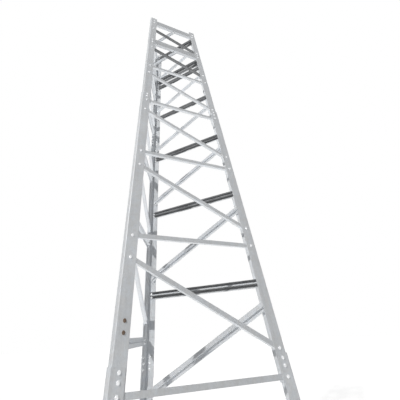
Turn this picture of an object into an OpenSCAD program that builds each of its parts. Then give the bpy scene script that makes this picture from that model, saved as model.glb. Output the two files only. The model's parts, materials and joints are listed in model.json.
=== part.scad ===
// Self-supporting radio tower: three folded-plate legs joined by bolted angle braces.
// +Z is up, the front face looks along -Y, and the legs are called left, right and back.

/* [Tower] */
// Height of the leg tops above the ground, measured along a leg
tower_h = 6530; // [6400:10:6660]
// Width of a face at the ground, out to where its plane meets the next ones
base_w = 1918; // [1800:2:2040]
// Width of a face at the leg tops, measured in the same way
top_w = 1086; // [1010:2:1170]

/* [Legs] */
// Height that a leg section runs above the horizontal at its top
lip_h = 155; // [150:1:165]
// Length that each section runs down inside the one below it
lap_l = 190; // [180:2:210]
// Width of each flange of the folded leg
flange_w = 115; // [105:1:130]
// Width of the flat nose between the two flanges
nose_w = 38; // [30:1:50]
// Thickness of the leg plate
leg_t = 5; // [4:0.5:6]
// Outer radius of the two bends
bend_r = 11; // [8:0.5:14]

/* [Braces] */
// Height of the lowest horizontal of the front face
first_h = 167; // [155:1:185]
// Height of a bay as a share of the bay below it
bay_share = 0.92; // [0.90:0.005:0.95]
// Width of each side of a brace angle
brace_w = 38; // [34:1:44]
// Distance between the two bolts at each end of the horizontals of the right and left faces
pair_bolt_step = 34; // [30:1:38]
// Length by which the flat sides of the braces of those faces stop short of their ends
pair_cope = 40; // [36:1:48]
// Thickness of the brace angle
brace_t = 5; // [4:0.5:6]
// Height between the bolt of a horizontal and the bolt of the next diagonal
bolt_step = 184; // [165:1:200]
// Length of a brace beyond the bolt at its end
end_l = 24; // [21:1:28]
// Diameter of the holes for the brace bolts
bolt_d = 14; // [12:0.5:16]
// Height of the lowest bolt of the diagonals that start at the feet
foot_bolt_h = 110; // [90:1:130]
// Distance of the two spare holes in the left leg from its leg line
spare_s = 110; // [104:1:120]

/* [Top rails] */
// Height of the upright side of a wide rail
rail_w = 130; // [115:1:145]
// Width of the flat side of a wide rail
rail_flat_w = 50; // [46:1:58]
// Distance between the two bolts at each end of a wide rail
rail_bolt_step = 70; // [60:1:80]
// Distance from the low rails down to the bolt of the diagonal below them
low_drop = 207; // [195:1:220]
// Distance from the low rails up to the bolt of the diagonal above them
low_rise = 98; // [94:1:110]
// Distance from the top rails down to the bolt of the diagonal below them
top_drop = 250; // [235:1:265]
// How much lower the rails of the right face sit than the others
right_drop = 85; // [75:1:95]
// Width of the tie, a channel from the front rail to the left rail of a ring
tie_w = 62; // [56:1:72]
// Height of the two lips of the tie
tie_lip = 16; // [12:1:22]
// Distance of a tie's bolts from the upright side of the rails
tie_in = 26; // [24:1:29]

/* [Feet] */
// Side of the square plate under each leg
foot_w = 280; // [270:2:320]
// Thickness of the foot plate
foot_t = 16; // [12:1:20]
// Spacing of the four anchor bolts of a foot
anchor_step = 210; // [204:2:220]
// Diameter of the anchor bolt holes
anchor_d = 22; // [18:1:26]

/* [Hidden] */
$fn = 32;
LEGS = ["left", "right", "back"];
FACES = ["front", "right", "left"];
RINGS = ["low", "top"];
bay_count = [7, 6, 7];

leg_grey = [0.70, 0.71, 0.72];
brace_grey = [0.62, 0.63, 0.64];
rail_grey = [0.66, 0.67, 0.68];

// Gap left between two plates that are bolted together
fit_gap = 0.2;
// Number of flat steps that stand for the round of a bend
bend_steps = 5;
// How far the cutting solids run past what they cut
past = 60;

// Lean of the legs and of the faces
taper = (base_w - top_w) / tower_h;
leg_lean = atan(taper / sqrt(3));
face_lean = atan(taper / (2 * sqrt(3)));
// Distance from the axis to a leg line and to a face, at the ground
leg_r = base_w / sqrt(3);
face_r = leg_r / 2;

// Turn of each leg and of each face about the axis
leg_turn = [210, -30, 90];
face_turn = [-90, 30, 150];
// The face on either side of each leg, and the end of that face where the leg stands
leg_faces = [[[0, -1], [2, 1]], [[0, 1], [1, -1]], [[1, 1], [2, -1]]];
// The end of each face where its diagonals are high
high_end = [-1, -1, 1];

// Distance of the brace bolts from the line where two faces meet
bolt_s = nose_w + flange_w / 2;
// Depth and sideways shift that each nested section adds
nest_x = leg_t + fit_gap;
nest_y = nest_x * sqrt(3);

// Distance of a foot's centre from its leg line, inwards
foot_in = bolt_s * cos(30);
// The axis is moved along Y so that the origin lies in the centre of the feet
back_reach = leg_r - foot_in + foot_w / 2;
front_reach = (leg_r - foot_in) / 2 + foot_w / 2 * (cos(30) + sin(30));
axis_y = (front_reach - back_reach) / 2;

// Number of bays of the front face, up to the upper ring of wide rails
bay_n = 7;
// Height of a level of the front face, 0 for its lowest horizontal
function level(i) = first_h + (tower_h - lip_h - first_h)
    * (1 - pow(bay_share, i)) / (1 - pow(bay_share, bay_n));
// Heights of the two rings of wide rails, and of the rails of one face
ring_h = [level(bay_n - 1), level(bay_n)];
function rail_h(face, j) = ring_h[j] - (face == 1 ? right_drop : 0);

// Heights of the horizontals of each face: those of the right face are a third of a bay
// below the front ones, and those of the left face a quarter of a bay above
levels = [
    [for (i = [0:5]) level(i)],
    [for (i = [1:6]) level(i) - (level(i) - level(i - 1)) / 3],
    [for (i = [0:5]) level(i) + (level(i + 1) - level(i)) / 4]];

// Heights of the low and high bolt of the diagonals between the horizontals of a face
function bay_spans(face) = [for (i = [0:4])
    [levels[face][i] + bolt_step, levels[face][i + 1] - bolt_step]];
// The same for the diagonal from the last horizontal to the low rails, and for the one
// between the two rings
function last_span(face) = [levels[face][5] + bolt_step, ring_h[0] - low_drop];
function ring_span(face) = [rail_h(face, 0) + low_rise, rail_h(face, 1) - top_drop];
spans = [
    concat(bay_spans(0), [last_span(0), ring_span(0)]),
    concat(bay_spans(1), [ring_span(1)]),
    concat(bay_spans(2), [last_span(2), ring_span(2)])];
// The same for the diagonal that starts at the feet of the right face
foot_span = [foot_bolt_h, levels[1][0] - bolt_step];

// Heights of the splice bolts below the top edge of a section
splice_drops = [36, 86, 136];
// Nearest that a splice bolt comes to the bolt of a brace
splice_clear = 40;
// Heights of the spare holes in the left leg above the top of its lowest section
spare_rises = [177, 249];

// Height of the top edge of each leg section
function section_top(i) = level(3 * i - 2) + lip_h;
// Height of the bottom edge of each leg section
function section_bottom(i) = i == 1 ? foot_t : section_top(i - 1) - lap_l;
// Number of the innermost leg section at a height
function inner_section(z) = z < section_bottom(2) ? 1 : z < section_bottom(3) ? 2 : 3;
// Half of the width of a face at a height
function half_w(z) = (base_w - taper * z) / 2;
// Distance of the bolt line from the middle of a face
function bolt_y(z) = half_w(z) - bolt_s - nest_y * (inner_section(z) - 1);

// Heights of the bolts at one end of a face, by kind
function diagonal_bolts(face, end) =
    [for (span = concat(spans[face], face == 1 ? [foot_span] : []))
        end == high_end[face] ? span[1] : span[0]];
function level_bolts(face) = face == 0 ? levels[face]
    : [for (z = levels[face]) for (k = [-1, 1]) z + k * pair_bolt_step / 2];
function rail_bolts(face) = [for (j = [0, 1]) for (k = [-1, 1])
    rail_h(face, j) + k * rail_bolt_step / 2];
function brace_bolts(face, end) =
    concat(level_bolts(face), diagonal_bolts(face, end), rail_bolts(face));
function splice_bolts(face, end) = [for (i = [1, 2]) for (drop = splice_drops)
    let (z = section_top(i) - drop)
    if (min([for (b = brace_bolts(face, end)) abs(b - z)]) > splice_clear) z];

// Places what is drawn in a leg's frame: X outwards, Z up along the leg
module on_leg(k)
    translate([0, axis_y, 0]) rotate([0, 0, leg_turn[k]])
        translate([leg_r, 0, 0]) rotate([0, -leg_lean, 0]) children();

// Places what is drawn in a face's frame: X outwards, Y along the face, Z up the face
module on_face(k)
    translate([0, axis_y, 0]) rotate([0, 0, face_turn[k]])
        translate([face_r, 0, 0]) rotate([0, -face_lean, 0]) children();

// Arc of a bend about its centre, the radius r from angle a to angle b
function bend(side, r, a, b) =
    let (x = -nose_w * cos(30) - bend_r, y = side * (nose_w / 2 - bend_r * tan(30)))
    [for (i = [0:bend_steps]) let (t = a + (b - a) * i / bend_steps)
        [x + r * cos(t), y + r * sin(t)]];
// Point at a distance from the meeting line of the faces, on one flange, t below its face
function on_flange(side, s, t) = [-s * cos(30) - t * sin(30), side * (s * sin(30) - t * cos(30))];

// Outline of the folded leg: a flat nose towards +X and a flange in each of two faces
module leg_outline() {
    tip = nose_w + flange_w;
    inner_r = bend_r - leg_t;
    polygon(concat(
        [on_flange(1, tip, 0)], bend(1, bend_r, 60, 0), bend(-1, bend_r, 0, -60),
        [on_flange(-1, tip, 0), on_flange(-1, tip, leg_t)],
        bend(-1, inner_r, -60, 0), bend(1, inner_r, 0, 60), [on_flange(1, tip, leg_t)]));
}

// A row of holes through the flange that stands at one end of a face
module flange_holes(face, end, heights)
    on_face(face) for (z = heights)
        translate([past, end * bolt_y(z), z]) rotate([0, -90, 0])
            cylinder(d = bolt_d, h = 2 * past);

// The two spare holes in the front flange of the left leg
module spare_holes()
    on_face(0) for (rise = spare_rises) let (z = section_top(1) + rise)
        translate([past, spare_s - half_w(z), z]) rotate([0, -90, 0])
            cylinder(d = bolt_d, h = 2 * past);

// One section of a leg, number 1 at the bottom
module leg_section(k, i) {
    low = section_bottom(i);
    high = section_top(i);
    color(leg_grey) difference() {
        on_leg(k) translate([-2 * nest_x * (i - 1), 0, i == 1 ? 0 : low])
            linear_extrude(height = high - (i == 1 ? 0 : low)) leg_outline();
        for (f = leg_faces[k]) flange_holes(f[0], f[1],
            [for (z = concat(brace_bolts(f[0], f[1]), splice_bolts(f[0], f[1])))
                if (z > low - bolt_d && z < high + bolt_d) z]);
        if (k == 0 && i == 2) spare_holes();
        if (i == 1) translate([-base_w, -base_w, -past])
            cube([2 * base_w, 2 * base_w, past + foot_t]);
    }
}

// Square plate under a leg, with its four anchor holes
module foot(k)
    color(leg_grey) translate([0, axis_y, 0]) rotate([0, 0, leg_turn[k]])
        translate([leg_r - foot_in, 0, 0]) difference() {
            translate([-foot_w / 2, -foot_w / 2, 0]) cube([foot_w, foot_w, foot_t]);
            for (x = [-1, 1]) for (y = [-1, 1])
                translate([x * anchor_step / 2, y * anchor_step / 2, -past])
                    cylinder(d = anchor_d, h = 2 * past);
        }

// An angle bar between two points of a face, given as [y, z], with bolt holes at its ends.
// Its upright side lies against the inside of the flanges. Its flat sides, one at each height
// in flats, point inwards and stop short of the ends by cope.
module angle_bar(face, a, b, tall, flat, flats, cope, holes) {
    along = b - a;
    span = norm(along);
    depth = max(inner_section(a[1]), inner_section(b[1])) * nest_x;
    on_face(face) translate([-depth, a[0], a[1]])
        rotate([atan2(along[1], along[0]), 0, 0]) difference() {
            union() {
                translate([-brace_t, -end_l, -tall / 2])
                    cube([brace_t, span + 2 * end_l, tall]);
                for (z = flats) translate([-flat, cope - end_l, z])
                    cube([flat, span + 2 * (end_l - cope), brace_t]);
            }
            for (y = [0, span]) for (z = holes) translate([past, y, z])
                rotate([0, -90, 0]) cylinder(d = bolt_d, h = 2 * past);
        }
}

// A brace from a height at one end of a face to a height at the other: one angle on the
// front face, and two angles welded edge to edge, one above the other, on the other faces.
// A pair has its flat sides at the top of each angle where it is level, else at the bottom.
module brace(face, z1, z2, holes) {
    flats = face == 0 ? [-brace_w / 2]
        : z1 == z2 ? [brace_w - brace_t, -brace_t] : [0, -brace_w];
    color(brace_grey) angle_bar(face, [-bolt_y(z1), z1], [bolt_y(z2), z2],
        face == 0 ? brace_w : 2 * brace_w, brace_w, flats, face == 0 ? 0 : pair_cope, holes);
}

// A horizontal brace, with two bolts an end on the right and left faces
module horizontal(face, z)
    brace(face, z, z, face == 0 ? [0] : [-pair_bolt_step / 2, pair_bolt_step / 2]);

// A diagonal between two bolt heights, high at the end that its face's diagonals share
module diagonal(face, span) {
    if (high_end[face] < 0) brace(face, span[1], span[0], [0]);
    else brace(face, span[0], span[1], [0]);
}

// A wide rail between two legs, its flat side cut back to clear the next rails: at its top
// on the right face and at its bottom on the front and left faces, where the middle of the
// flat side has a hole for the tie.
module rail(face, z) {
    y = bolt_y(z);
    clear_s = (3 * nest_x + rail_flat_w) * sqrt(3) + brace_t;
    color(rail_grey) difference() {
        angle_bar(face, [-y, z], [y, z], rail_w, rail_flat_w,
            [face == 1 ? rail_w / 2 - brace_t : -rail_w / 2],
            clear_s - bolt_s + end_l, [-rail_bolt_step / 2, rail_bolt_step / 2]);
        if (face != 1) on_face(face)
            translate([-inner_section(z) * nest_x - brace_t - tie_in, 0, z - rail_w / 2 - brace_t])
                cylinder(d = bolt_d, h = 3 * brace_t);
    }
}

// A channel under the flat sides of the front and left rails of a ring, from the middle of
// one to the middle of the other, with its two lips hanging down
module tie(z) {
    depth = inner_section(z) * nest_x;
    drop = z - rail_w / 2;
    reach = face_r - (depth + brace_t + tie_in) * cos(face_lean) - drop * sin(face_lean);
    top = drop * cos(face_lean) - (depth + rail_flat_w) * sin(face_lean) - fit_gap;
    span = reach * sqrt(3);
    color(rail_grey) translate([0, axis_y, top]) rotate([0, 0, leg_turn[0]])
        translate([reach / 2, -span / 2 - end_l, 0]) difference() {
            translate([-tie_w / 2, 0, -tie_lip])
                cube([tie_w, span + 2 * end_l, tie_lip]);
            translate([-tie_w / 2 + brace_t, -past, -tie_lip - brace_t])
                cube([tie_w - 2 * brace_t, span + 2 * past, tie_lip]);
            for (y = [end_l, end_l + span]) translate([0, y, -2 * brace_t])
                cylinder(d = bolt_d, h = 3 * brace_t);
        }
}

// Bay number i of a face: a horizontal and the diagonal above it
module bay(face, i) {
    if (i <= 6) horizontal(face, levels[face][i - 1]);
    diagonal(face, spans[face][i - 1]);
    if (face == 1 && i == 1) diagonal(face, foot_span);
}

for (k = [0:2]) for (i = [1:3])
    leg_section(k, i);
for (k = [0:2])
    foot(k);
for (k = [0:2]) for (i = [1:bay_count[k]])
    bay(k, i);
for (k = [0:2]) for (j = [0:1])
    rail(k, rail_h(k, j));
for (j = [0:1])
    tie(ring_h[j]);
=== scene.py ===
"""Looks of the self-supporting radio tower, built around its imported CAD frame.

The steel members are the CAD nodes, dressed in galvanised steel. Bolts, nuts, washers,
anchor bolts and welds are meshes made here. Lengths are in metres, and +Z is up.
"""

import json
import math
import random

import bmesh
import bpy
from bpy.props import FloatProperty, FloatVectorProperty, PointerProperty
from mathutils import Matrix, Vector


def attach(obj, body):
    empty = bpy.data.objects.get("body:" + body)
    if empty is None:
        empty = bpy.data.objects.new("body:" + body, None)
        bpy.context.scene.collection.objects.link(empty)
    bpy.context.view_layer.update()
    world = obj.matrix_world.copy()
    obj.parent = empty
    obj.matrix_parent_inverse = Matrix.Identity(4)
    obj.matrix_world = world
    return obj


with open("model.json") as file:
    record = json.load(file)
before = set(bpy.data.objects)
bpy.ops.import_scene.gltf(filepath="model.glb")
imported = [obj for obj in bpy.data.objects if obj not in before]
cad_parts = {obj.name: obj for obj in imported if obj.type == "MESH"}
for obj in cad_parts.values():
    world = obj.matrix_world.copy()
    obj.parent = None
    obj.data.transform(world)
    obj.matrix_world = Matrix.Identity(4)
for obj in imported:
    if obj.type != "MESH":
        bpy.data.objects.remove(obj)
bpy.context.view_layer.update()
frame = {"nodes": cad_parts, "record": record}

bl_info = {
    "name": "Radio tower finish",
    "version": (1, 0, 0),
    "blender": (4, 5, 0),
    "location": "View3D > Sidebar > Tower",
    "description": "Dresses a lattice tower with galvanised steel, bolts and welds",
    "category": "Object",
}

# ---------------------------------------------------------------------------
# Set-out of the tower: the same rules that place its members and holes
# ---------------------------------------------------------------------------

# Height of the leg tops, and width of a face at the ground and at the leg tops
TOWER_H = 6.530
BASE_W = 1.918
TOP_W = 1.086

# Legs: how far a section runs above the level at its top, its lap in the section below,
# the folded plate, and the gap between two nested plates
LIP_H = 0.155
LAP_L = 0.190
FLANGE_W = 0.115
NOSE_W = 0.038
LEG_T = 0.005
BEND_R = 0.011
BEND_STEPS = 5
FIT_GAP = 0.0002

# Braces: height of the lowest level, height of a bay as a share of the bay below it,
# number of bays, plate thickness, and steps between bolts
FIRST_H = 0.167
BAY_SHARE = 0.92
BAY_N = 7
BRACE_T = 0.005
BOLT_STEP = 0.184
PAIR_BOLT_STEP = 0.034
FOOT_BOLT_H = 0.110

# Top rails and ties: width, bolts, the diagonals' bolts below and above them, how much
# lower the right face's rails sit, and the distance of a tie's bolts from the upright side
RAIL_W = 0.130
RAIL_BOLT_STEP = 0.070
LOW_DROP = 0.207
LOW_RISE = 0.098
TOP_DROP = 0.250
RIGHT_DROP = 0.085
TIE_IN = 0.026

# Feet: side and thickness of the plate, and spacing of its anchor bolts
FOOT_W = 0.280
FOOT_T = 0.016
ANCHOR_STEP = 0.210

# Splice bolts below a section's top edge, the nearest that they come to another bolt, and
# the left leg's two spare holes, from the leg line and above the lowest section's top edge
SPLICE_DROPS = (0.036, 0.086, 0.136)
SPLICE_CLEAR = 0.040
SPARE_S = 0.110
SPARE_RISES = (0.177, 0.249)

# Legs and faces, and their turns about the axis in degrees
LEGS = ("left", "right", "back")
FACES = ("front", "right", "left")
FRONT, RIGHT, LEFT = range(len(FACES))
LEG_TURN = (210, -30, 90)
FACE_TURN = (-90, 30, 150)
# The two faces beside each leg, with the end of each where the leg stands
LEG_FACES = (((FRONT, -1), (LEFT, 1)), ((FRONT, 1), (RIGHT, -1)), ((RIGHT, 1), (LEFT, -1)))
# The end of each face where its diagonals are high
HIGH_END = (-1, -1, 1)
# Half of the angle at which two faces meet
HALF_CORNER = math.radians(30)

# Worked out from these: leans, distances from the axis, the bolt line and the nesting
TAPER = (BASE_W - TOP_W) / TOWER_H
LEG_LEAN = math.atan(TAPER / math.sqrt(3))
FACE_LEAN = math.atan(TAPER / (2 * math.sqrt(3)))
LEG_R = BASE_W / math.sqrt(3)
FACE_R = LEG_R / 2
BOLT_S = NOSE_W + FLANGE_W / 2
NEST = LEG_T + FIT_GAP
FOOT_IN = BOLT_S * math.cos(HALF_CORNER)
AXIS_Y = (
    (LEG_R - FOOT_IN) / 2
    + FOOT_W / 2 * (math.cos(HALF_CORNER) + math.sin(HALF_CORNER))
    - (LEG_R - FOOT_IN + FOOT_W / 2)
) / 2


def level(i):
    """Height of a level of the front face, 0 for its lowest horizontal."""
    span = TOWER_H - LIP_H - FIRST_H
    return FIRST_H + span * (1 - BAY_SHARE**i) / (1 - BAY_SHARE**BAY_N)


# Heights of each face's horizontals: the right face's sit a third of a bay below the front
# face's, and the left face's a quarter of a bay above
LEVELS = (
    [level(i) for i in range(6)],
    [level(i) - (level(i) - level(i - 1)) / 3 for i in range(1, 7)],
    [level(i) + (level(i + 1) - level(i)) / 4 for i in range(6)],
)


def rail_height(face, ring):
    """Height of the middle of a wide rail, ring 0 for the low one."""
    return level(BAY_N - 1 + ring) - (RIGHT_DROP if face == RIGHT else 0)


def spans(face):
    """Low and high bolt heights of a face's diagonals."""
    rows = LEVELS[face]
    out = [(low + BOLT_STEP, high - BOLT_STEP) for low, high in zip(rows, rows[1:])]
    if face != RIGHT:
        out.append((rows[-1] + BOLT_STEP, rail_height(face, 0) - LOW_DROP))
    out.append((rail_height(face, 0) + LOW_RISE, rail_height(face, 1) - TOP_DROP))
    if face == RIGHT:
        out.append((FOOT_BOLT_H, rows[0] - BOLT_STEP))
    return out


def end_height(face, end, span):
    """Height of a diagonal's bolt at one end of its face."""
    low, high = span
    return high if end == HIGH_END[face] else low


def pair_steps(step):
    """Steps up and down from a middle to the two bolts beside it."""
    return (-step / 2, step / 2)


def level_steps(face):
    """Steps from a level to its bolts: one on the front face, two on the others."""
    return (0,) if face == FRONT else pair_steps(PAIR_BOLT_STEP)


def section_top(i):
    """Height of the top edge of a leg section, 1 at the bottom."""
    return level(3 * i - 2) + LIP_H


def section_bottom(i):
    """Height of the bottom edge of a leg section."""
    return FOOT_T if i == 1 else section_top(i - 1) - LAP_L


def inner_section(z):
    """Number of the innermost leg section at a height."""
    return 1 if z < section_bottom(2) else 2 if z < section_bottom(3) else 3


def outer_depth(z):
    """Depth of the outer face of the outermost leg section at a height."""
    outermost = 1 if z < section_top(1) else 2 if z < section_top(2) else 3
    return NEST * (outermost - 1)


def half_w(z):
    """Half the distance between two leg lines."""
    return (BASE_W - TAPER * z) / 2


def bolt_y(z):
    """Distance of the bolt line from the middle of a face."""
    return half_w(z) - BOLT_S - NEST * math.sqrt(3) * (inner_section(z) - 1)


def about_axis(turn, reach):
    """Matrix of a place on the ground at a distance from the axis, X outwards."""
    return (
        Matrix.Translation((0, AXIS_Y, 0))
        @ Matrix.Rotation(math.radians(turn), 4, "Z")
        @ Matrix.Translation((reach, 0, 0))
    )


def face_frame(face):
    """Matrix of a face: X outwards, Y along the face, Z up the face."""
    return about_axis(FACE_TURN[face], FACE_R) @ Matrix.Rotation(-FACE_LEAN, 4, "Y")


def leg_frame(leg):
    """Matrix of a leg: X outwards, Z up along the leg."""
    return about_axis(LEG_TURN[leg], LEG_R) @ Matrix.Rotation(-LEG_LEAN, 4, "Y")


def outwards(face, y, z, depth):
    """Place on a face whose Z looks outwards, at a depth behind the face's plane."""
    spot = face_frame(face) @ Matrix.Translation((-depth, y, z))
    return spot @ Matrix.Rotation(math.pi / 2, 4, "Y")


def raised(place, height):
    """The same place, moved along its own axis."""
    return place @ Matrix.Translation((0, 0, height))


def turned(place, angle):
    """The same place, turned about its own axis."""
    return place @ Matrix.Rotation(angle, 4, "Z")


# ---------------------------------------------------------------------------
# Meshes of the fixings
# ---------------------------------------------------------------------------

# Sides of the rounds of washers, hexagons, threads and shanks
WASHER_SIDES = 28
HEXAGON_SIDES = 36
THREAD_SIDES = 20
SHANK_SIDES = 16
# Broken edge of a washer as a share of its thickness, and radius of the flat end of a
# hexagon as a share of half its width
WASHER_EDGE = 0.22
HEXAGON_FACE = 0.94
# Steps down the turned-off corners of a hexagon, as shares of their height
CORNER_SHARES = (0.2, 0.55, 1)
# Thread, as shares of its pitch: its depth, both ends of a crest, the start of the tip's
# chamfer and the least length of the tip, whose radius is a share of the root's
THREAD_DEPTH = 0.6
CREST_START = 0.45
CREST_END = 0.6
TIP_START = 0.5
TIP_LEAST = 0.6
TIP_SHARE = 0.94
# Bolts of the braces, rails and splices: hole of a washer over the bolt, rise of the
# head's middle, thread pitch, spread of the thread's length, how far it starts inside the
# nut, how much thinner the shank is, and the least packing that is shown
WASHER_EASE = 1.08
HEAD_CROWN = 0.0003
BOLT_PITCH = 0.00175
THREAD_SPREAD = 0.003
THREAD_SUNK = 0.001
SHANK_SLACK = 0.0002
LEAST_PACKING = 0.001
# What the lean of a rail adds to the grip of a tie's bolts
TIE_SLACK = 0.0016
# Anchor bolts: washers, nuts, thread, spread of their height, and how far above the
# underside of the foot plate they start
ANCHOR_EASE = 1.06
ANCHOR_WASHER_W = 0.037
ANCHOR_WASHER_T = 0.003
ANCHOR_NUT_W = 0.030
ANCHOR_NUT_H = 0.016
ANCHOR_PITCH = 0.0025
ANCHOR_SPREAD = 0.004
ANCHOR_INSET = 0.0005
# Weld beads: step along the leg, size, ripple and its turn a step, spread, and the angles
# of the bead's corners from the plate up to the leg
WELD_STEP = 0.0028
WELD_SIZE = 0.0052
WELD_RIPPLE = 0.0009
RIPPLE_TURN = 1.7
WELD_SPREAD = 0.0004
WELD_ARC = (0, 0.5, 1.05, 1.6)
# Edges sharper than this stay sharp
SHARP_ANGLE = math.radians(32)


def revolve(mesh, place, profile, sides):
    """Adds a closed turned form to a mesh: profile is (radius, height) from end to end."""
    rings = []
    for radius, height in profile:
        if radius <= 0:
            rings.append([mesh.verts.new(place @ Vector((0, 0, height)))])
            continue
        ring = []
        for n in range(sides):
            a = 2 * math.pi * n / sides
            spot = Vector((radius * math.cos(a), radius * math.sin(a), height))
            ring.append(mesh.verts.new(place @ spot))
        rings.append(ring)
    bridge(mesh, rings)


def bridge(mesh, rings):
    """Joins rings of vertices, where a ring of one vertex closes an end."""
    for low, high in zip(rings, rings[1:]):
        count = max(len(low), len(high))
        for n in range(count):
            m = (n + 1) % count
            corners = [low[n % len(low)], low[m % len(low)]]
            corners += [high[m % len(high)], high[n % len(high)]]
            corners = list(dict.fromkeys(corners))
            if len(corners) > 2:
                mesh.faces.new(corners)


def washer(mesh, place, hole, width, thick):
    """A flat washer with broken edges, standing on the XY plane of place."""
    inner, outer, cut = hole / 2, width / 2, thick * WASHER_EDGE
    profile = [
        (inner, cut), (inner + cut, 0), (outer - cut, 0), (outer, cut),
        (outer, thick - cut), (outer - cut, thick), (inner + cut, thick),
        (inner, thick - cut), (inner, cut),
    ]
    revolve(mesh, place, profile, WASHER_SIDES)


def hexagon(mesh, place, across, height, both_ends, crown):
    """A hexagon with its corners turned off at 30 degrees, at both ends or on top only."""
    flat = across / 2
    corner = flat / math.cos(math.pi / 6)
    turn = HEXAGON_FACE * flat
    drop = (corner - turn) * math.tan(math.pi / 6)
    heights = [0]
    if both_ends:
        heights += [drop * share for share in CORNER_SHARES]
    heights += [height - drop * share for share in reversed(CORNER_SHARES)] + [height]
    rings = [[mesh.verts.new(place @ Vector((0, 0, 0)))]]
    for z in heights:
        limit = corner
        if z > height - drop:
            limit = turn + (height - z) / math.tan(math.pi / 6)
        if both_ends and z < drop:
            limit = turn + z / math.tan(math.pi / 6)
        ring = []
        for n in range(HEXAGON_SIDES):
            a = 2 * math.pi * n / HEXAGON_SIDES
            b = (a + math.pi / 6) % (math.pi / 3) - math.pi / 6
            r = min(flat / math.cos(b), limit)
            ring.append(mesh.verts.new(place @ Vector((r * math.cos(a), r * math.sin(a), z))))
        rings.append(ring)
    rings.append([mesh.verts.new(place @ Vector((0, 0, height + crown)))])
    bridge(mesh, rings)


def thread(mesh, place, across, length, pitch):
    """The end of a threaded bar, with its crests, roots and a chamfered tip."""
    crest, root = across / 2, across / 2 - pitch * THREAD_DEPTH
    profile = [(0, 0), (root, 0)]
    z = 0.0
    while z + pitch < length - pitch * TIP_LEAST:
        profile += [(crest, z + pitch * CREST_START), (crest, z + pitch * CREST_END)]
        profile.append((root, z + pitch))
        z += pitch
    profile += [(crest, z + pitch * TIP_START), (root * TIP_SHARE, length), (0, length)]
    revolve(mesh, place, profile, THREAD_SIDES)


def bolt_set(mesh, place, grip, sizes, rng, packing=0.0, pack_at=0.0):
    """A bolt through plates: its head stands on Z 0, and its nut lies below the grip.

    Packing is the thickness of a ring that fills a gap between the plates, pack_at deep.
    """
    thick = sizes.washer_thick
    across = sizes.bolt_across
    hole = across * WASHER_EASE
    washer(mesh, place, hole, sizes.washer_width, thick)
    head = turned(raised(place, thick), rng.uniform(0, math.pi))
    hexagon(mesh, head, sizes.head_width, sizes.head_height, False, HEAD_CROWN)
    under = raised(place, -grip) @ Matrix.Rotation(math.pi, 4, "X")
    washer(mesh, under, hole, sizes.washer_width, thick)
    nut = turned(raised(under, thick), rng.uniform(0, math.pi))
    hexagon(mesh, nut, sizes.head_width, sizes.nut_height, True, 0)
    end = raised(under, thick + sizes.nut_height - THREAD_SUNK)
    thread(mesh, end, across, sizes.thread_past + rng.uniform(0, THREAD_SPREAD), BOLT_PITCH)
    shank = across / 2 - SHANK_SLACK
    revolve(mesh, place, [(0, 0), (shank, 0), (shank, -grip), (0, -grip)], SHANK_SIDES)
    if packing > LEAST_PACKING:
        washer(mesh, raised(place, -pack_at - packing), hole, sizes.washer_width, packing)


def leg_outline():
    """Section of a folded leg about the line where its two faces meet."""

    def flange(side, s, t):
        return Vector((
            -s * math.cos(HALF_CORNER) - t * math.sin(HALF_CORNER),
            side * (s * math.sin(HALF_CORNER) - t * math.cos(HALF_CORNER)),
        ))

    def bend(side, r, first, last):
        x = -NOSE_W * math.cos(HALF_CORNER) - BEND_R
        y = side * (NOSE_W / 2 - BEND_R * math.tan(HALF_CORNER))
        turns = [first + (last - first) * n / BEND_STEPS for n in range(BEND_STEPS + 1)]
        return [
            Vector((x + r * math.cos(math.radians(t)), y + r * math.sin(math.radians(t))))
            for t in turns
        ]

    tip = NOSE_W + FLANGE_W
    inner = BEND_R - LEG_T
    return (
        [flange(1, tip, 0)] + bend(1, BEND_R, 60, 0) + bend(-1, BEND_R, 0, -60)
        + [flange(-1, tip, 0), flange(-1, tip, LEG_T)]
        + bend(-1, inner, -60, 0) + bend(1, inner, 0, 60) + [flange(1, tip, LEG_T)]
    )


def make_piece(name, mesh, material):
    """Turns a mesh into a piece of the tower that rides on its one body."""
    bmesh.ops.recalc_face_normals(mesh, faces=mesh.faces)
    data = bpy.data.meshes.new(name)
    mesh.to_mesh(data)
    mesh.free()
    for polygon in data.polygons:
        polygon.use_smooth = True
    data.set_sharp_from_angle(angle=SHARP_ANGLE)
    piece = bpy.data.objects.new(name, data)
    bpy.context.scene.collection.objects.link(piece)
    data.materials.append(material)
    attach(piece, "root")


# ---------------------------------------------------------------------------
# Finishes
# ---------------------------------------------------------------------------

# Dullness, crystals a metre and strength of the run-off streaks of each kind of steel
LEG_ZINC = (0.46, 85.0, 0.045)
BRACE_ZINC = (0.50, 110.0, 0.03)
RAIL_ZINC = (0.48, 95.0, 0.04)
FOOT_ZINC = (0.55, 75.0, 0.03)
# Colours of dark zinc (zinc gone dark with weather, and painted shade on the right face), of soil
# near the ground, of stain specks and of rust
DARK_ZINC_AND_SHADE = (0.060, 0.061, 0.063)
SOIL = (0.33, 0.30, 0.255)
STAIN = (0.34, 0.25, 0.17)
RUST = (0.20, 0.11, 0.06)
RUSTED_BOLT = (0.130, 0.095, 0.070)
# Painted shade: dark bands in the recesses of a level pair and of a wide rail, from its middle
PAIR_SHADE_BANDS = ((-0.030, 0.0), (0.014, 0.045))
RAIL_SHADE_BANDS = ((-0.052, 0.004), (0.012, 0.075))
# How far below the bolts of the front face's two top diagonals the zinc turns dark
DARK_BELOW = 0.06
# How far the edge of a dark band wanders, and half of its soft edge
BAND_WANDER = 0.002
BAND_SOFT = 0.002


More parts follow.
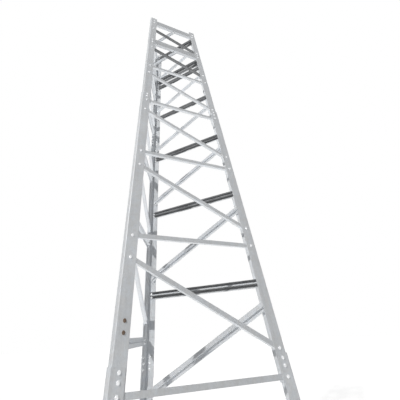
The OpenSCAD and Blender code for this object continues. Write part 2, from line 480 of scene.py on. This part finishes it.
class Finish:
    """A material under construction, with short ways to add and join its nodes."""

    def __init__(self, name):
        self.material = bpy.data.materials.new(name)
        self.material.use_nodes = True
        self.nodes = self.material.node_tree.nodes
        self.links = self.material.node_tree.links
        self.shader = self.nodes["Principled BSDF"]
        coords = self.nodes.new("ShaderNodeTexCoord")
        self.place = coords.outputs["Object"]

    def join(self, source, target):
        """Feeds an input from an output, or sets it to a number or a colour."""
        if isinstance(source, (int, float)):
            target.default_value = source
        elif isinstance(source, tuple):
            target.default_value = (*source, 1.0)[: len(target.default_value)]
        else:
            self.links.new(source, target)

    def stretched(self, x, y, z):
        """The piece's own coordinates, scaled along each axis."""
        node = self.nodes.new("ShaderNodeMapping")
        node.inputs["Scale"].default_value = (x, y, z)
        self.join(self.place, node.inputs["Vector"])
        return node.outputs["Vector"]

    def noise(self, scale, detail=4.0, rough=0.55, at=None):
        """Cloudy noise from 0 to 1."""
        node = self.nodes.new("ShaderNodeTexNoise")
        node.inputs["Scale"].default_value = scale
        node.inputs["Detail"].default_value = detail
        node.inputs["Roughness"].default_value = rough
        self.join(at or self.place, node.inputs["Vector"])
        return node.outputs["Fac"]

    def cells(self, scale):
        """Node of scattered cells, with the distance to each centre and a colour each."""
        node = self.nodes.new("ShaderNodeTexVoronoi")
        node.inputs["Scale"].default_value = scale
        self.join(self.place, node.inputs["Vector"])
        return node

    def ranged(self, source, low, high, to_low, to_high):
        """A value stretched from one range to another, and held within it."""
        node = self.nodes.new("ShaderNodeMapRange")
        self.join(source, node.inputs["Value"])
        ends = {"From Min": low, "From Max": high, "To Min": to_low, "To Max": to_high}
        for key, value in ends.items():
            node.inputs[key].default_value = value
        return node.outputs["Result"]

    def sums(self, kind, a, b):
        """Two values put together by a kind of sum."""
        node = self.nodes.new("ShaderNodeMath")
        node.operation = kind
        self.join(a, node.inputs[0])
        self.join(b, node.inputs[1])
        return node.outputs[0]

    def product(self, *factors):
        """All the factors multiplied, in order."""
        total = factors[0]
        for factor in factors[1:]:
            total = self.sums("MULTIPLY", total, factor)
        return total

    def blend(self, factor, a, b, kind="MIX"):
        """Colour b laid over colour a by a factor."""
        node = self.nodes.new("ShaderNodeMix")
        node.data_type = "RGBA"
        node.blend_type = kind
        self.join(factor, node.inputs[0])
        self.join(a, node.inputs[6])
        self.join(b, node.inputs[7])
        return node.outputs[2]

    def scaled(self, colour, shade):
        """A colour made lighter or darker by a shade about 1."""
        node = self.nodes.new("ShaderNodeVectorMath")
        node.operation = "SCALE"
        self.join(colour, node.inputs[0])
        self.join(shade, node.inputs["Scale"])
        return node.outputs[0]

    def first_channel(self, colour):
        """One random number from a random colour."""
        node = self.nodes.new("ShaderNodeSeparateColor")
        self.join(colour, node.inputs[0])
        return node.outputs[0]

    def height(self):
        """Height above the ground, where each member's own coordinates start."""
        node = self.nodes.new("ShaderNodeSeparateXYZ")
        self.join(self.place, node.inputs[0])
        return node.outputs["Z"]

    def band(self, height, low, high):
        """1 where a height lies between two others, and 0 elsewhere."""
        above = self.ranged(height, low - BAND_SOFT, low + BAND_SOFT, 0.0, 1.0)
        below = self.ranged(height, high - BAND_SOFT, high + BAND_SOFT, 1.0, 0.0)
        return self.sums("MULTIPLY", above, below)

    def alignment(self, way):
        """How far the plate faces a direction: 1 straight at it, 0 across it."""
        plain = self.nodes.new("ShaderNodeNewGeometry")
        dot = self.nodes.new("ShaderNodeVectorMath")
        dot.operation = "DOT_PRODUCT"
        self.join(plain.outputs["True Normal"], dot.inputs[0])
        self.join(way, dot.inputs[1])
        return dot.outputs["Value"]

    def facing(self, way, least):
        """1 where the plate's alignment with a direction is above the least, else 0."""
        return self.ranged(self.alignment(way), least, least + 0.05, 0.0, 1.0)

    def rounded_edges(self, radius):
        """The normal with its edges rounded, and a mask near 1 on edges and 0 on flat plate."""
        node = self.nodes.new("ShaderNodeBevel")
        node.samples = 4
        node.inputs["Radius"].default_value = radius
        rounded = node.outputs["Normal"]
        return rounded, self.ranged(self.alignment(rounded), 0.995, 0.8, 0.0, 1.0)

    def bump(self, height, strength, distance, below=None):
        """The normal over a relief, on top of another one if given."""
        node = self.nodes.new("ShaderNodeBump")
        node.inputs["Strength"].default_value = strength
        node.inputs["Distance"].default_value = distance
        self.join(height, node.inputs["Height"])
        if below is not None:
            self.join(below, node.inputs["Normal"])
        return node.outputs["Normal"]


def galvanised(name, colour, zinc, dark_bands=(), inward=None):
    """Hot-dip galvanised steel: crystals, cloudy zinc, run-off streaks and bright edges.

    Between the heights of dark_bands the zinc is painted dark. Without inward it is zinc gone dark
    with weather; with inward it is painted shade, given only on plate that faces that way or down.
    """
    dull, spangle, streaks = zinc
    f = Finish(name)
    grain = f.first_channel(f.cells(spangle).outputs["Color"])
    clouds = f.noise(2.6, 5.0, 0.6)
    mottle = f.noise(19.0, 4.0, 0.6)
    runs = f.noise(1.0, 4.0, 0.55, f.stretched(38.0, 38.0, 1.9))
    drops = f.noise(1.0, 3.0, 0.7, f.stretched(95.0, 95.0, 7.0))
    each_piece = f.nodes.new("ShaderNodeObjectInfo").outputs["Random"]
    rounded, edges = f.rounded_edges(0.0022)

    shade = f.product(
        f.ranged(grain, 0.0, 1.0, 0.955, 1.045),
        f.ranged(clouds, 0.3, 0.7, 0.93, 1.06),
        f.ranged(mottle, 0.3, 0.7, 0.965, 1.035),
        f.ranged(runs, 0.35, 0.7, 1.0 + streaks, 1.0 - streaks),
        f.ranged(drops, 0.62, 0.75, 1.0, 1.0 - streaks),
        f.ranged(each_piece, 0.0, 1.0, 0.97, 1.03),
        f.ranged(edges, 0.0, 1.0, 1.0, 1.12),
    )
    toned = f.scaled(colour, shade)
    cool = f.blend(f.ranged(mottle, 0.35, 0.65, 0.0, 0.35), toned, (0.90, 0.97, 1.06), "MULTIPLY")

    soil_edge = f.sums("ADD", f.height(), f.ranged(mottle, 0.3, 0.7, -0.11, 0.11))
    soil = f.ranged(soil_edge, 0.03, 0.32, 0.42, 0.0)
    soiled = f.blend(soil, cool, SOIL)
    speck = f.product(
        f.ranged(f.cells(31.0).outputs["Distance"], 0.045, 0.10, 0.5, 0.0),
        f.ranged(clouds, 0.52, 0.6, 0.0, 1.0),
    )
    tone = f.blend(speck, soiled, STAIN)

    # Dark bands: zinc gone dark with weather, and painted shade where inward is given
    if dark_bands:
        wander = f.ranged(mottle, 0.3, 0.7, -BAND_WANDER, BAND_WANDER)
        ragged = f.sums("ADD", f.height(), wander)
        dark = 0.0
        for low, high in dark_bands:
            dark = f.sums("MAXIMUM", dark, f.band(ragged, low, high))
        # Painted shade: only on plate that faces inward or down
        if inward is not None:
            shade_facing = f.sums("MAXIMUM", f.facing(inward, 0.5), f.facing((0, 0, -1), 0.9))
            dark = f.sums("MULTIPLY", dark, shade_facing)
        dark = f.sums("MULTIPLY", dark, f.ranged(clouds, 0.3, 0.7, 0.74, 0.90))
        tone = f.blend(dark, tone, DARK_ZINC_AND_SHADE)
    f.join(tone, f.shader.inputs["Base Color"])

    rough = f.ranged(grain, 0.0, 1.0, dull - 0.07, dull + 0.07)
    rough = f.sums("ADD", rough, f.ranged(clouds, 0.3, 0.7, -0.06, 0.08))
    rough = f.sums("ADD", rough, f.ranged(soil, 0.0, 0.42, 0.0, 0.25))
    rough = f.sums("SUBTRACT", rough, f.ranged(edges, 0.0, 1.0, 0.0, 0.10))
    f.join(rough, f.shader.inputs["Roughness"])
    f.shader.inputs["Metallic"].default_value = 0.22

    skin = f.bump(grain, 0.10, 0.0004, rounded)
    skin = f.bump(f.noise(140.0, 4.0, 0.6), 0.12, 0.0004, skin)
    skin = f.bump(drops, 0.20, 0.0010, skin)
    f.join(skin, f.shader.inputs["Normal"])
    return f.material


def rusted(name, colour):
    """Old bolts that have rusted dark."""
    f = Finish(name)
    flakes = f.noise(160.0, 5.0, 0.65)
    stains = f.noise(45.0, 3.0, 0.6)
    lighter = tuple(1.7 * part for part in colour)
    toned = f.blend(f.ranged(flakes, 0.4, 0.65, 0.0, 1.0), colour, lighter)
    stained = f.blend(f.ranged(stains, 0.5, 0.7, 0.0, 0.5), toned, RUST)
    f.join(stained, f.shader.inputs["Base Color"])
    f.shader.inputs["Roughness"].default_value = 0.88
    f.join(f.bump(flakes, 0.5, 0.0006), f.shader.inputs["Normal"])
    return f.material


def zinc_plated(name, colour):
    """Bright zinc on bolts, nuts and washers, with darker rubbed patches."""
    f = Finish(name)
    patches = f.noise(120.0, 4.0, 0.6)
    fine = f.noise(900.0, 3.0, 0.6)
    rounded, edges = f.rounded_edges(0.0006)
    shade = f.product(f.ranged(patches, 0.3, 0.7, 0.88, 1.08), f.ranged(edges, 0.0, 1.0, 1.0, 1.1))
    f.join(f.scaled(colour, shade), f.shader.inputs["Base Color"])
    f.join(f.ranged(patches, 0.3, 0.7, 0.24, 0.42), f.shader.inputs["Roughness"])
    f.shader.inputs["Metallic"].default_value = 0.75
    f.join(f.bump(fine, 0.12, 0.0003, rounded), f.shader.inputs["Normal"])
    return f.material


def weld_metal(name, colour):
    """Zinc-sprayed weld: lumpy and dull."""
    f = Finish(name)
    lumps = f.noise(260.0, 4.0, 0.6)
    darker = tuple(0.72 * part for part in colour)
    toned = f.blend(f.ranged(lumps, 0.3, 0.7, 0.0, 1.0), darker, colour)
    f.join(toned, f.shader.inputs["Base Color"])
    f.join(f.ranged(lumps, 0.3, 0.7, 0.5, 0.72), f.shader.inputs["Roughness"])
    f.shader.inputs["Metallic"].default_value = 0.3
    f.join(f.bump(lumps, 0.45, 0.0015), f.shader.inputs["Normal"])
    return f.material


def bright_bolt(context):
    """The bolt finish, made once."""
    known = bpy.data.materials.get("bright_zinc")
    return known or zinc_plated("bright_zinc", tuple(context.scene.tower_finish.bolt_colour))


# ---------------------------------------------------------------------------
# What a user would change
# ---------------------------------------------------------------------------


class TowerFixings(bpy.types.PropertyGroup):
    """Sizes of the bolts and washers."""

    bolt_across: FloatProperty(
        name="Brace bolt",
        description="Diameter of the brace and splice bolts",
        default=0.012,
        unit="LENGTH",
    )
    head_width: FloatProperty(
        name="Head width",
        description="Width of a bolt head or nut across its flats",
        default=0.019,
        unit="LENGTH",
    )
    head_height: FloatProperty(
        name="Head height",
        description="Height of a bolt head",
        default=0.0078,
        unit="LENGTH",
    )
    nut_height: FloatProperty(
        name="Nut height",
        description="Height of a nut",
        default=0.0104,
        unit="LENGTH",
    )
    washer_width: FloatProperty(
        name="Washer width",
        description="Outer diameter of a washer",
        default=0.027,
        unit="LENGTH",
    )
    washer_thick: FloatProperty(
        name="Washer thickness",
        description="Thickness of a washer",
        default=0.0025,
        unit="LENGTH",
    )
    thread_past: FloatProperty(
        name="Thread past nut",
        description="Length of thread that shows past a nut",
        default=0.008,
        unit="LENGTH",
    )
    anchor_across: FloatProperty(
        name="Anchor bolt",
        description="Diameter of the anchor bolts in the feet",
        default=0.020,
        unit="LENGTH",
    )
    anchor_stand: FloatProperty(
        name="Anchor length",
        description="Height of the anchor bolts above the foot plates",
        default=0.058,
        unit="LENGTH",
    )


class TowerFinish(bpy.types.PropertyGroup):
    """Colours of the steel."""

    leg_colour: FloatVectorProperty(
        name="Legs",
        description="Zinc colour of the legs",
        default=(0.60, 0.61, 0.62),
        size=3,
        subtype="COLOR",
    )
    brace_colour: FloatVectorProperty(
        name="Braces",
        description="Zinc colour of the braces",
        default=(0.58, 0.59, 0.60),
        size=3,
        subtype="COLOR",
    )
    rail_colour: FloatVectorProperty(
        name="Rails",
        description="Zinc colour of the wide rails and ties",
        default=(0.50, 0.51, 0.52),
        size=3,
        subtype="COLOR",
    )
    foot_colour: FloatVectorProperty(
        name="Feet",
        description="Zinc colour of the foot plates",
        default=(0.62, 0.63, 0.63),
        size=3,
        subtype="COLOR",
    )
    bolt_colour: FloatVectorProperty(
        name="Bolts",
        description="Colour of the bright bolts",
        default=(0.86, 0.87, 0.88),
        size=3,
        subtype="COLOR",
    )


class TowerStudio(bpy.types.PropertyGroup):
    """Light and floor."""

    key_strength: FloatProperty(
        name="Key light",
        description="Strength of the key light",
        default=2.1,
    )
    sky_strength: FloatProperty(
        name="Sky light",
        description="Strength of the even light from all around",
        default=0.20,
    )
    bounce_strength: FloatProperty(
        name="Floor bounce",
        description="Strength of the soft light from the floor",
        default=3.3,
    )
    key_angle: FloatProperty(
        name="Key softness",
        description="Apparent width of the key light",
        default=0.03,
        subtype="ANGLE",
    )


# ---------------------------------------------------------------------------
# Pieces of the tower
# ---------------------------------------------------------------------------


class TOWER_OT_dress_members(bpy.types.Operator):
    """Give every steel member its galvanised finish"""

    bl_idname = "tower.dress_members"
    bl_label = "Dress Steel Members"

    def execute(self, context):
        colours = context.scene.tower_finish
        brace = tuple(colours.brace_colour)
        rail = tuple(colours.rail_colour)
        finishes = {
            "leg_steel": galvanised("galvanised_legs", tuple(colours.leg_colour), LEG_ZINC),
            "brace_steel": galvanised("galvanised_braces", brace, BRACE_ZINC),
            "rail_steel": galvanised("galvanised_rails", rail, RAIL_ZINC),
            "foot_steel": galvanised("galvanised_feet", tuple(colours.foot_colour), FOOT_ZINC),
        }
        top = (LEVELS[FRONT][-1] + BOLT_STEP - DARK_BELOW, TOWER_H)
        turn = math.radians(FACE_TURN[RIGHT])
        inward = (-math.cos(turn), -math.sin(turn), 0.0)
        # Painted shade in the recesses of the right face's level pairs and rails, on plate that
        # faces inward or down
        pair_shade = self.bands(LEVELS[RIGHT], PAIR_SHADE_BANDS)
        rail_shade = self.bands([rail_height(RIGHT, ring) for ring in (0, 1)], RAIL_SHADE_BANDS)
        # The front face's top diagonals have zinc gone dark with weather; the right face's members
        # have painted shade
        darkened = {
            "front_bay": galvanised("galvanised_braces_front", brace, BRACE_ZINC, [top]),
            "right_bay": galvanised(
                "galvanised_braces_right_painted_shade", brace, BRACE_ZINC, pair_shade, inward
            ),
            "right_rail": galvanised(
                "galvanised_rails_right_painted_shade", rail, RAIL_ZINC, rail_shade, inward
            ),
        }
        for part in frame["record"]["subparts"]:
            member = frame["nodes"][part["node"]]
            family = part["node"].rsplit("_", 1)[0]
            for socket in member.material_slots:
                socket.link = "OBJECT"
                socket.material = darkened.get(family, finishes[part["material_slot"]])
            if not member.material_slots:
                raise RuntimeError(f"{member.name} has no material slot")
        return {"FINISHED"}

    def bands(self, heights, recesses):
        """Low and high ends of the painted shade bands in the recesses about each height."""
        return [(z + low, z + high) for z in heights for low, high in recesses]


class TOWER_OT_bolt_braces(bpy.types.Operator):
    """Put the bolts, nuts and washers at the ends of every brace"""

    bl_idname = "tower.bolt_braces"
    bl_label = "Bolt Braces"

    def execute(self, context):
        sizes = context.scene.tower_fixings
        rng = random.Random(11)
        for face, face_name in enumerate(FACES):
            mesh = bmesh.new()
            for z in LEVELS[face]:
                for end in (-1, 1):
                    for step in level_steps(face):
                        self.through(mesh, face, end, z, z + step, inner_section(z), sizes, rng)
            for span in spans(face):
                deepest = max(inner_section(z) for z in span)
                for end in (-1, 1):
                    z = end_height(face, end, span)
                    self.through(mesh, face, end, z, z, deepest, sizes, rng)
            make_piece(f"brace_bolts_{face_name}", mesh, bright_bolt(context))
        return {"FINISHED"}

    def through(self, mesh, face, end, row, z, deepest, sizes, rng):
        """One bolt at height z through the flange and the brace behind it.

        Row is the height of the brace's end, and deepest the innermost leg section that the
        brace passes at either end, so packing fills what is left at the other.
        """
        outer = outer_depth(z)
        inner = NEST * inner_section(z)
        packing = NEST * deepest - inner
        grip = NEST * deepest + BRACE_T - outer
        place = outwards(face, end * bolt_y(row), z, outer)
        bolt_set(mesh, place, grip, sizes, rng, packing, inner - outer)


class TOWER_OT_bolt_rails(bpy.types.Operator):
    """Put the bolts of the wide rails and of the ties between them"""

    bl_idname = "tower.bolt_rails"
    bl_label = "Bolt Rails and Ties"

    def execute(self, context):
        sizes = context.scene.tower_fixings
        rng = random.Random(23)
        mesh = bmesh.new()
        for face in (FRONT, RIGHT, LEFT):
            for ring in (0, 1):
                z = rail_height(face, ring)
                outer = outer_depth(z)
                grip = NEST * inner_section(z) + BRACE_T - outer
                for end in (-1, 1):
                    for step in pair_steps(RAIL_BOLT_STEP):
                        place = outwards(face, end * bolt_y(z), z + step, outer)
                        bolt_set(mesh, place, grip, sizes, rng)
        make_piece("rail_bolts", mesh, bright_bolt(context))

        mesh = bmesh.new()
        for ring in (0, 1):
            z = rail_height(FRONT, ring)
            depth = NEST * inner_section(z) + BRACE_T + TIE_IN
            for face in (FRONT, LEFT):
                middle = Matrix.Translation((-depth, 0, z - RAIL_W / 2 + BRACE_T))
                place = face_frame(face) @ middle
                bolt_set(mesh, place, 2 * BRACE_T + TIE_SLACK, sizes, rng)
        make_piece("tie_bolts", mesh, bright_bolt(context))
        return {"FINISHED"}


class TOWER_OT_bolt_splices(bpy.types.Operator):
    """Put the bolts where one leg section is nested in the next, and in the spare holes"""

    bl_idname = "tower.bolt_splices"
    bl_label = "Bolt Leg Splices"

    def execute(self, context):
        sizes = context.scene.tower_fixings
        rng = random.Random(37)
        for leg, leg_name in enumerate(LEGS):
            mesh = bmesh.new()
            for face, end in LEG_FACES[leg]:
                taken = self.taken(face, end)
                for joint in (1, 2):
                    for drop in SPLICE_DROPS:
                        z = section_top(joint) - drop
                        if min(abs(z - other) for other in taken) <= SPLICE_CLEAR:
                            continue
                        place = outwards(face, end * bolt_y(z), z, NEST * (joint - 1))
                        bolt_set(mesh, place, 2 * NEST, sizes, rng)
            make_piece(f"splice_bolts_{leg_name}", mesh, bright_bolt(context))

        mesh = bmesh.new()
        for rise in SPARE_RISES:
            z = section_top(1) + rise
            place = outwards(FRONT, SPARE_S - half_w(z), z, NEST)
            bolt_set(mesh, place, NEST, sizes, rng)
        make_piece("spare_bolts", mesh, rusted("rusted_bolts", RUSTED_BOLT))
        return {"FINISHED"}

    def taken(self, face, end):
        """Heights of the brace and rail bolts at one end of a face."""
        out = [z + step for z in LEVELS[face] for step in level_steps(face)]
        out += [end_height(face, end, span) for span in spans(face)]
        for ring in (0, 1):
            out += [rail_height(face, ring) + step for step in pair_steps(RAIL_BOLT_STEP)]
        return out


class TOWER_OT_anchor_feet(bpy.types.Operator):
    """Put the anchor bolts and nuts in the feet, and the welds round the legs"""

    bl_idname = "tower.anchor_feet"
    bl_label = "Anchor Feet"

    def execute(self, context):
        sizes = context.scene.tower_fixings
        rng = random.Random(41)
        mesh = bmesh.new()
        for turn in LEG_TURN:
            foot = about_axis(turn, LEG_R - FOOT_IN)
            for x in (-1, 1):
                for y in (-1, 1):
                    spot = Matrix.Translation((x * ANCHOR_STEP / 2, y * ANCHOR_STEP / 2, FOOT_T))
                    self.anchor(mesh, foot @ spot, sizes, rng)
        make_piece("anchor_bolts", mesh, bright_bolt(context))

        mesh = bmesh.new()
        for leg in range(len(LEGS)):
            self.weld(mesh, leg_frame(leg), rng)
        colour = tuple(context.scene.tower_finish.foot_colour)
        make_piece("foot_welds", mesh, weld_metal("zinc_sprayed_weld", colour))
        return {"FINISHED"}

    def anchor(self, mesh, place, sizes, rng):
        """A threaded anchor bolt up through the foot plate, with its washer and nut."""
        across = sizes.anchor_across
        washer(mesh, place, across * ANCHOR_EASE, ANCHOR_WASHER_W, ANCHOR_WASHER_T)
        nut = turned(raised(place, ANCHOR_WASHER_T), rng.uniform(0, 1))
        hexagon(mesh, nut, ANCHOR_NUT_W, ANCHOR_NUT_H, True, 0)
        tall = sizes.anchor_stand + FOOT_T + rng.uniform(-ANCHOR_SPREAD, ANCHOR_SPREAD)
        thread(mesh, raised(place, -FOOT_T + ANCHOR_INSET), across, tall, ANCHOR_PITCH)

    def weld(self, mesh, place, rng):
        """A weld bead round the outline of a leg where it meets its foot plate."""
        outline = leg_outline()
        points = []
        for a, b in zip(outline, outline[1:] + outline[:1]):
            steps = max(1, round((b - a).length / WELD_STEP))
            points += [a.lerp(b, n / steps) for n in range(steps)]
        lean = place.to_3x3() @ Vector((0, 0, 1))
        rings = []
        for n, flat in enumerate(points):
            ahead = points[(n + 1) % len(points)] - points[n - 1]
            across = Vector((ahead.y, -ahead.x, 0)).normalized()
            base = place @ Vector((flat.x, flat.y, 0))
            base += lean * ((FOOT_T - base.z) / lean.z)
            side = (place.to_3x3() @ across).normalized()
            side.z = 0
            ripple = WELD_RIPPLE * math.sin(n * RIPPLE_TURN)
            size = WELD_SIZE + ripple + rng.uniform(-WELD_SPREAD, WELD_SPREAD)
            rings.append([
                mesh.verts.new(base + side * size * math.cos(t) + Vector((0, 0, size * math.sin(t))))
                for t in WELD_ARC
            ])
        corners = len(WELD_ARC)
        for ring, after in zip(rings, rings[1:] + rings[:1]):
            for k in range(corners):
                m = (k + 1) % corners
                mesh.faces.new([ring[k], ring[m], after[m], after[k]])


# ---------------------------------------------------------------------------
# Stage
# ---------------------------------------------------------------------------

# Key light: its turn about the tower, its height and its colour
KEY_TURN = math.radians(34)
KEY_HEIGHT = math.radians(28)
KEY_COLOUR = (1.0, 0.992, 0.975)
# Width of the soft light from the floor
BOUNCE_ANGLE = math.radians(60)
# Camera: its eye from the tower's axis, its turn from +Y, pitch and roll, and its lens
EYE = (-1.5856, -3.0938, 1.6006)
CAMERA_TURN = 0.47103
CAMERA_PITCH = 0.72266
CAMERA_ROLL = -0.04444
SENSOR_W = 36.0
LENS = 23.93
LENS_SHIFT = (0.0758, -0.2513)
CLIP_END = 200.0
# Floor: reach from its middle, cells a side, its two tones and its glow
FLOOR_REACH = 60.0
FLOOR_CELLS = 24
FLOOR_TONES = (0.49, 0.52)
FLOOR_GLOW = 0.76
SKY_COLOUR = (0.98, 0.99, 1.0, 1)


class TOWER_OT_set_stage(bpy.types.Operator):
    """Set the floor, the lights and the camera"""

    bl_idname = "tower.set_stage"
    bl_label = "Set Stage"

    def execute(self, context):
        scene = context.scene
        studio = scene.tower_studio
        self.floor(scene)
        self.sky(scene, studio.sky_strength)
        towards = Vector((
            -math.cos(KEY_TURN) * math.cos(KEY_HEIGHT),
            -math.sin(KEY_TURN) * math.cos(KEY_HEIGHT),
            math.sin(KEY_HEIGHT),
        ))
        turn = towards.to_track_quat("Z", "Y").to_euler()
        key = self.sun(scene, "key_light", studio.key_strength, studio.key_angle, turn)
        key.color = KEY_COLOUR
        upwards = (math.pi, 0, 0)
        bounce = self.sun(scene, "floor_bounce", studio.bounce_strength, BOUNCE_ANGLE, upwards)
        bounce.use_shadow = False
        self.camera(scene)
        scene.view_settings.view_transform = "Standard"
        return {"FINISHED"}

    def sun(self, scene, name, strength, angle, turn):
        """A sun lamp, which shines down before it is turned."""
        data = bpy.data.lights.new(name, "SUN")
        data.energy = strength
        data.angle = angle
        lamp = bpy.data.objects.new(name, data)
        scene.collection.objects.link(lamp)
        lamp.rotation_euler = turn
        return data

    def camera(self, scene):
        """A camera at eye height that looks up at the tower."""
        lens = bpy.data.cameras.new("camera")
        lens.sensor_width = SENSOR_W
        lens.lens = LENS
        lens.shift_x, lens.shift_y = LENS_SHIFT
        lens.clip_end = CLIP_END
        camera = bpy.data.objects.new("camera", lens)
        scene.collection.objects.link(camera)
        ahead = Vector((
            math.sin(CAMERA_TURN) * math.cos(CAMERA_PITCH),
            math.cos(CAMERA_TURN) * math.cos(CAMERA_PITCH),
            math.sin(CAMERA_PITCH),
        ))
        right = ahead.cross(Vector((0, 0, 1))).normalized()
        up = right.cross(ahead)
        across = right * math.cos(CAMERA_ROLL) + up * math.sin(CAMERA_ROLL)
        top = up * math.cos(CAMERA_ROLL) - right * math.sin(CAMERA_ROLL)
        turn = Matrix((across, top, -ahead)).transposed()
        eye = Vector((EYE[0], AXIS_Y + EYE[1], EYE[2]))
        camera.matrix_world = Matrix.Translation(eye) @ turn.to_4x4()
        scene.camera = camera

    def floor(self, scene):
        """A wide pale floor that keeps the tower's shadow."""
        mesh = bmesh.new()
        bmesh.ops.create_grid(
            mesh, x_segments=FLOOR_CELLS, y_segments=FLOOR_CELLS, size=FLOOR_REACH
        )
        data = bpy.data.meshes.new("floor")
        mesh.to_mesh(data)
        mesh.free()
        floor = bpy.data.objects.new("floor", data)
        scene.collection.objects.link(floor)
        f = Finish("pale_floor")
        dark, light = ((tone, tone, tone) for tone in FLOOR_TONES)
        tone = f.blend(f.ranged(f.noise(0.8), 0.3, 0.7, 0.0, 1.0), dark, light)
        f.join(tone, f.shader.inputs["Base Color"])
        f.shader.inputs["Roughness"].default_value = 0.9
        glow = f.nodes.new("ShaderNodeEmission")
        glow.inputs["Color"].default_value = (1, 1, 1, 1)
        path = f.nodes.new("ShaderNodeLightPath")
        seen = f.sums("MAXIMUM", path.outputs["Is Camera Ray"], path.outputs["Is Glossy Ray"])
        f.join(f.sums("MULTIPLY", seen, FLOOR_GLOW), glow.inputs["Strength"])
        both = f.nodes.new("ShaderNodeAddShader")
        f.join(f.shader.outputs[0], both.inputs[0])
        f.join(glow.outputs[0], both.inputs[1])
        f.join(both.outputs[0], f.nodes["Material Output"].inputs["Surface"])
        data.materials.append(f.material)

    def sky(self, scene, strength):
        """Even light from all around, white where the camera and the steel see it."""
        world = bpy.data.worlds.new("sky")
        world.use_nodes = True
        scene.world = world
        nodes, links = world.node_tree.nodes, world.node_tree.links
        even = nodes["Background"]
        even.inputs["Color"].default_value = SKY_COLOUR
        even.inputs["Strength"].default_value = strength
        white = nodes.new("ShaderNodeBackground")
        white.inputs["Color"].default_value = (1, 1, 1, 1)
        white.inputs["Strength"].default_value = 1.0
        path = nodes.new("ShaderNodeLightPath")
        seen = path.outputs["Is Camera Ray"]
        for ray in ("Is Glossy Ray", "Is Transmission Ray"):
            either = nodes.new("ShaderNodeMath")
            either.operation = "MAXIMUM"
            links.new(seen, either.inputs[0])
            links.new(path.outputs[ray], either.inputs[1])
            seen = either.outputs[0]
        mix = nodes.new("ShaderNodeMixShader")
        links.new(seen, mix.inputs[0])
        links.new(even.outputs[0], mix.inputs[1])
        links.new(white.outputs[0], mix.inputs[2])
        links.new(mix.outputs[0], nodes["World Output"].inputs["Surface"])


# ---------------------------------------------------------------------------
# Sidebar and registration
# ---------------------------------------------------------------------------

OPERATORS = (
    TOWER_OT_dress_members,
    TOWER_OT_bolt_braces,
    TOWER_OT_bolt_rails,
    TOWER_OT_bolt_splices,
    TOWER_OT_anchor_feet,
    TOWER_OT_set_stage,
)
GROUPS = {"tower_fixings": TowerFixings, "tower_finish": TowerFinish, "tower_studio": TowerStudio}


class TOWER_PT_sidebar(bpy.types.Panel):
    """The tower's pieces in the sidebar of the 3D view"""

    bl_label = "Radio Tower"
    bl_idname = "TOWER_PT_sidebar"
    bl_space_type = "VIEW_3D"
    bl_region_type = "UI"
    bl_category = "Tower"

    def draw(self, context):
        for name, group in GROUPS.items():
            box = self.layout.box()
            for key in group.__annotations__:
                box.prop(getattr(context.scene, name), key)
        for operator in OPERATORS:
            self.layout.operator(operator.bl_idname)


def register():
    """Registers the classes and gives the scene its properties."""
    for group in GROUPS.values():
        bpy.utils.register_class(group)
    for operator in OPERATORS:
        bpy.utils.register_class(operator)
    bpy.utils.register_class(TOWER_PT_sidebar)
    for name, group in GROUPS.items():
        setattr(bpy.types.Scene, name, PointerProperty(type=group))


def unregister():
    """Takes away what register added."""
    for name in GROUPS:
        delattr(bpy.types.Scene, name)
    bpy.utils.unregister_class(TOWER_PT_sidebar)
    for operator in reversed(OPERATORS):
        bpy.utils.unregister_class(operator)
    for group in GROUPS.values():
        bpy.utils.unregister_class(group)


def main():
    """Dresses the tower."""
    register()
    bpy.ops.tower.dress_members()
    bpy.ops.tower.bolt_braces()
    bpy.ops.tower.bolt_rails()
    bpy.ops.tower.bolt_splices()
    bpy.ops.tower.anchor_feet()
    bpy.ops.tower.set_stage()


if __name__ == "__main__":
    main()
